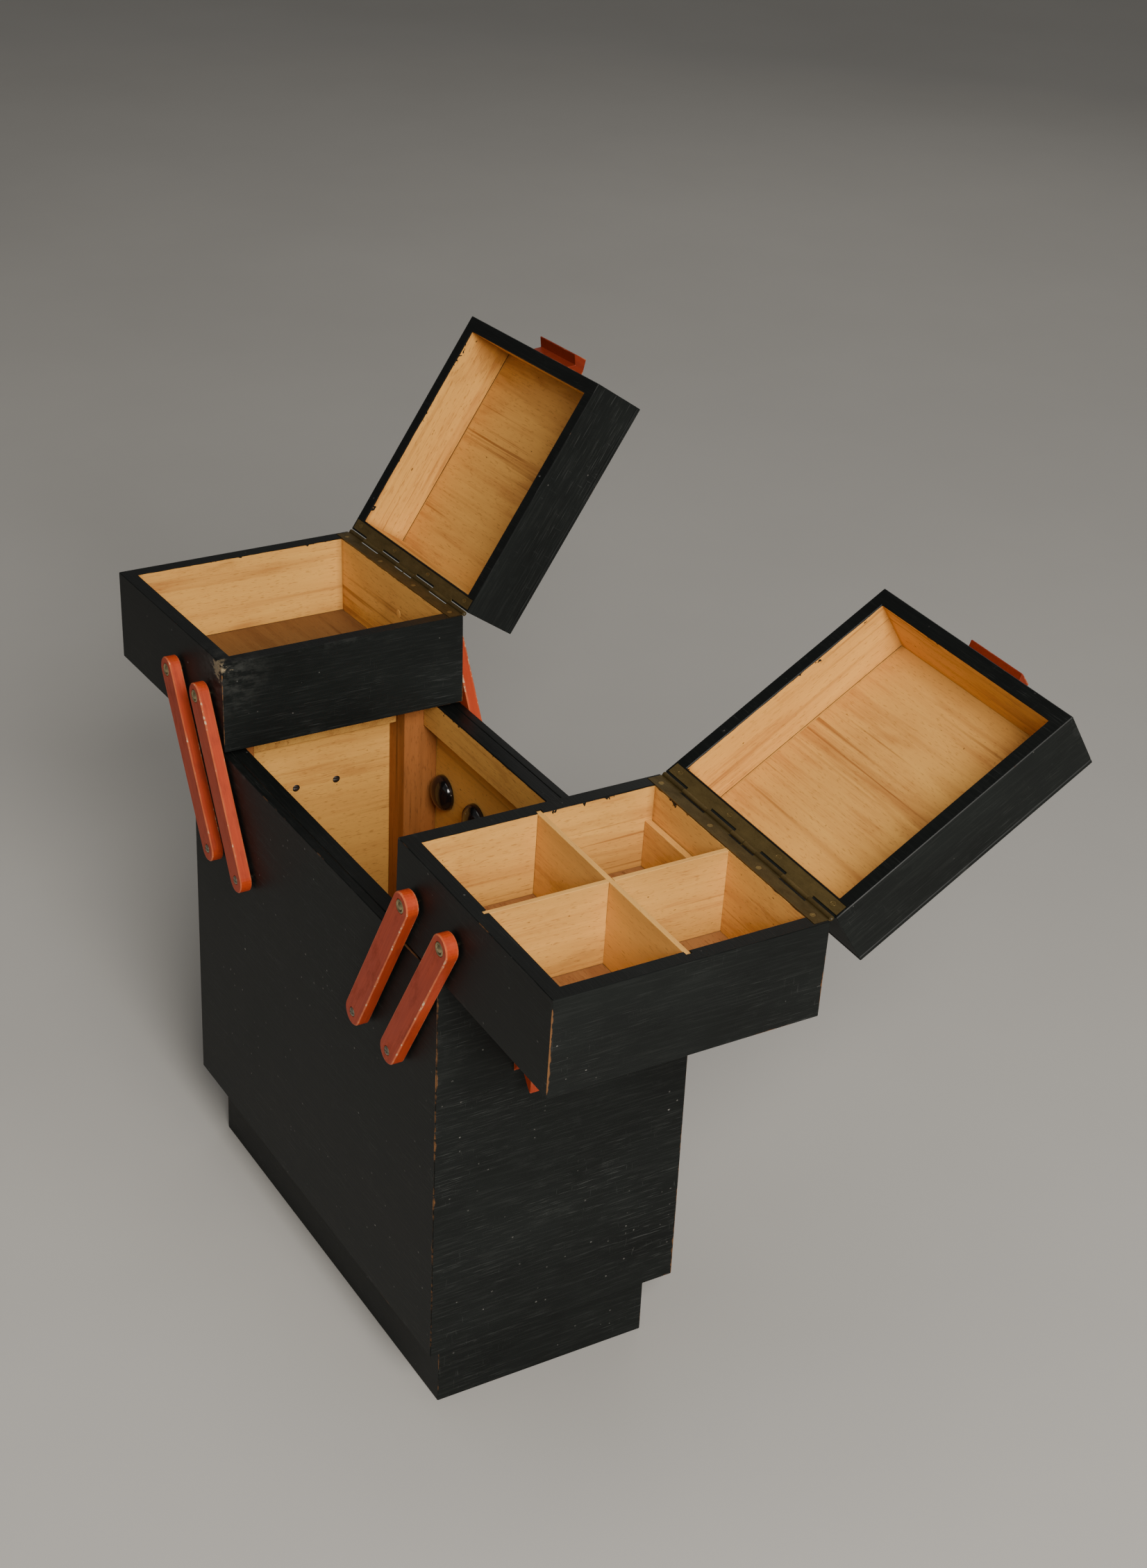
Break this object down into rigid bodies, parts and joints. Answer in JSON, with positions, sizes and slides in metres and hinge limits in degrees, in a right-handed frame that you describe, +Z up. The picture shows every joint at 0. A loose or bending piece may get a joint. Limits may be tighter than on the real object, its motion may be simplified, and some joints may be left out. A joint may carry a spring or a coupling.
{
  "type": "cantilever sewing box",
  "caption": "Painted wooden sewing box on a plinth, with two hinged-lid trays that swing out sideways on pairs of flat arms.",
  "frame": {"origin": "on the floor, under the middle of the plinth front board", "axes": "+Z up, +X towards the right tray as it swings out, +Y towards the lid hinges"},
  "size_m": [0.8025, 0.475, 0.7062],
  "materials": {
    "black_paint": "very dark satin paint over birch plywood, worn at the edges",
    "bare_birch": "bare, waxed light plywood",
    "bare_pine": "stained orange-brown softwood",
    "red_paint": "brick red paint over wood, chipped edges",
    "aged_brass": "darkened brass",
    "aged_steel": "dull steel",
    "black_enamel": "glossy black enamel"
  },
  "bodies": {
    "chest": {"back_rail": "bare_birch", "chest_back_wall": "black_paint", "chest_bottom": "bare_birch", "chest_front_wall": "black_paint", "chest_left_wall": "black_paint", "chest_right_wall": "black_paint", "front_rail": "bare_birch", "left_back_post": "bare_pine", "left_front_post": "bare_pine", "left_handle": "red_paint", "left_inner_back_bolt": "black_enamel", "left_inner_front_bolt": "black_enamel", "left_outer_back_bolt": "black_enamel", "left_outer_front_bolt": "black_enamel", "left_rail": "bare_birch", "plinth_frame": "black_paint", "right_back_post": "bare_pine", "right_front_post": "bare_pine", "right_handle": "red_paint", "right_inner_back_bolt": "black_enamel", "right_inner_front_bolt": "black_enamel", "right_outer_back_bolt": "black_enamel", "right_outer_front_bolt": "black_enamel", "right_rail": "bare_birch"},
    "left_inner_front_arm": {"left_inner_front_arm": "red_paint"},
    "left_inner_back_arm": {"left_inner_back_arm": "red_paint"},
    "left_outer_front_arm": {"left_outer_front_arm": "red_paint"},
    "left_outer_back_arm": {"left_outer_back_arm": "red_paint"},
    "left_tray": {"left_hinge_pin": "aged_steel", "left_hinge_tray_leaf": "aged_brass", "left_inner_back_screw": "aged_brass", "left_inner_front_screw": "aged_brass", "left_outer_back_screw": "aged_brass", "left_outer_front_screw": "aged_brass", "left_tray_box": "black_paint", "left_tray_floor": "bare_birch"},
    "left_lid": {"left_hinge_lid_leaf": "aged_brass", "left_lid_box": "black_paint", "left_lid_top": "black_paint", "left_pull": "red_paint"},
    "right_inner_front_arm": {"right_inner_front_arm": "red_paint"},
    "right_inner_back_arm": {"right_inner_back_arm": "red_paint"},
    "right_outer_front_arm": {"right_outer_front_arm": "red_paint"},
    "right_outer_back_arm": {"right_outer_back_arm": "red_paint"},
    "right_tray": {"cross_divider": "bare_birch", "long_divider": "bare_birch", "low_divider": "bare_birch", "right_hinge_pin": "aged_steel", "right_hinge_tray_leaf": "aged_brass", "right_inner_back_screw": "aged_brass", "right_inner_front_screw": "aged_brass", "right_outer_back_screw": "aged_brass", "right_outer_front_screw": "aged_brass", "right_tray_box": "black_paint", "right_tray_floor": "bare_birch"},
    "right_lid": {"right_hinge_lid_leaf": "aged_brass", "right_lid_box": "black_paint", "right_lid_top": "black_paint", "right_pull": "red_paint"}
  },
  "joints": [
    {"name": "left_swing", "type": "hinge", "parent": "chest", "child": "left_inner_front_arm", "pos_m": [-0.11352, -0.03075, 0.3334], "axis": [0, 1, 0], "range_deg": [0, 60.16]},
    {"name": "left_tray_pivot", "type": "hinge", "parent": "left_inner_front_arm", "child": "left_tray", "pos_m": [-0.19298, -0.03075, 0.47342], "axis": [0, 1, 0], "range_deg": [-58.16, 0.1]},
    {"name": "left_inner_back_arm_swing", "type": "hinge", "parent": "chest", "child": "left_inner_back_arm", "pos_m": [-0.11352, 0.21475, 0.3334], "axis": [0, 1, 0], "range_deg": [-0.1, 60.26]},
    {"name": "left_outer_front_arm_swing", "type": "hinge", "parent": "chest", "child": "left_outer_front_arm", "pos_m": [-0.17403, -0.03075, 0.3334], "axis": [0, 1, 0], "range_deg": [-0.1, 60.66]},
    {"name": "left_outer_back_arm_swing", "type": "hinge", "parent": "chest", "child": "left_outer_back_arm", "pos_m": [-0.17403, 0.21475, 0.3334], "axis": [0, 1, 0], "range_deg": [-0.1, 60.66]},
    {"name": "left_lid_hinge", "type": "hinge", "parent": "left_tray", "child": "left_lid", "pos_m": [-0.27938, 0.2095, 0.50988], "axis": [0.9993, 0, 0.0366], "range_deg": [-28, 124]},
    {"name": "right_swing", "type": "hinge", "parent": "chest", "child": "right_inner_front_arm", "pos_m": [0.11352, -0.03075, 0.3334], "axis": [0, -1, 0], "range_deg": [0, 60.16]},
    {"name": "right_tray_pivot", "type": "hinge", "parent": "right_inner_front_arm", "child": "right_tray", "pos_m": [0.19298, -0.03075, 0.47342], "axis": [0, -1, 0], "range_deg": [-58.16, 0.1]},
    {"name": "right_inner_back_arm_swing", "type": "hinge", "parent": "chest", "child": "right_inner_back_arm", "pos_m": [0.11352, 0.21475, 0.3334], "axis": [0, -1, 0], "range_deg": [-0.1, 60.26]},
    {"name": "right_outer_front_arm_swing", "type": "hinge", "parent": "chest", "child": "right_outer_front_arm", "pos_m": [0.17403, -0.03075, 0.3334], "axis": [0, -1, 0], "range_deg": [-0.1, 60.66]},
    {"name": "right_outer_back_arm_swing", "type": "hinge", "parent": "chest", "child": "right_outer_back_arm", "pos_m": [0.17403, 0.21475, 0.3334], "axis": [0, -1, 0], "range_deg": [-0.1, 60.66]},
    {"name": "right_lid_hinge", "type": "hinge", "parent": "right_tray", "child": "right_lid", "pos_m": [0.27938, 0.2095, 0.50988], "axis": [0.9993, 0, -0.0366], "range_deg": [-4, 148]}
  ],
  "couplings": [
    {"joint": "left_tray_pivot", "follows": "left_swing", "ratio": -0.96509},
    {"joint": "left_inner_back_arm_swing", "follows": "left_swing", "ratio": 1},
    {"joint": "left_outer_front_arm_swing", "follows": "left_swing", "ratio": 1.0066},
    {"joint": "left_outer_back_arm_swing", "follows": "left_swing", "ratio": 1.0066},
    {"joint": "right_tray_pivot", "follows": "right_swing", "ratio": -0.96509},
    {"joint": "right_inner_back_arm_swing", "follows": "right_swing", "ratio": 1},
    {"joint": "right_outer_front_arm_swing", "follows": "right_swing", "ratio": 1.0066},
    {"joint": "right_outer_back_arm_swing", "follows": "right_swing", "ratio": 1.0066}
  ]
}
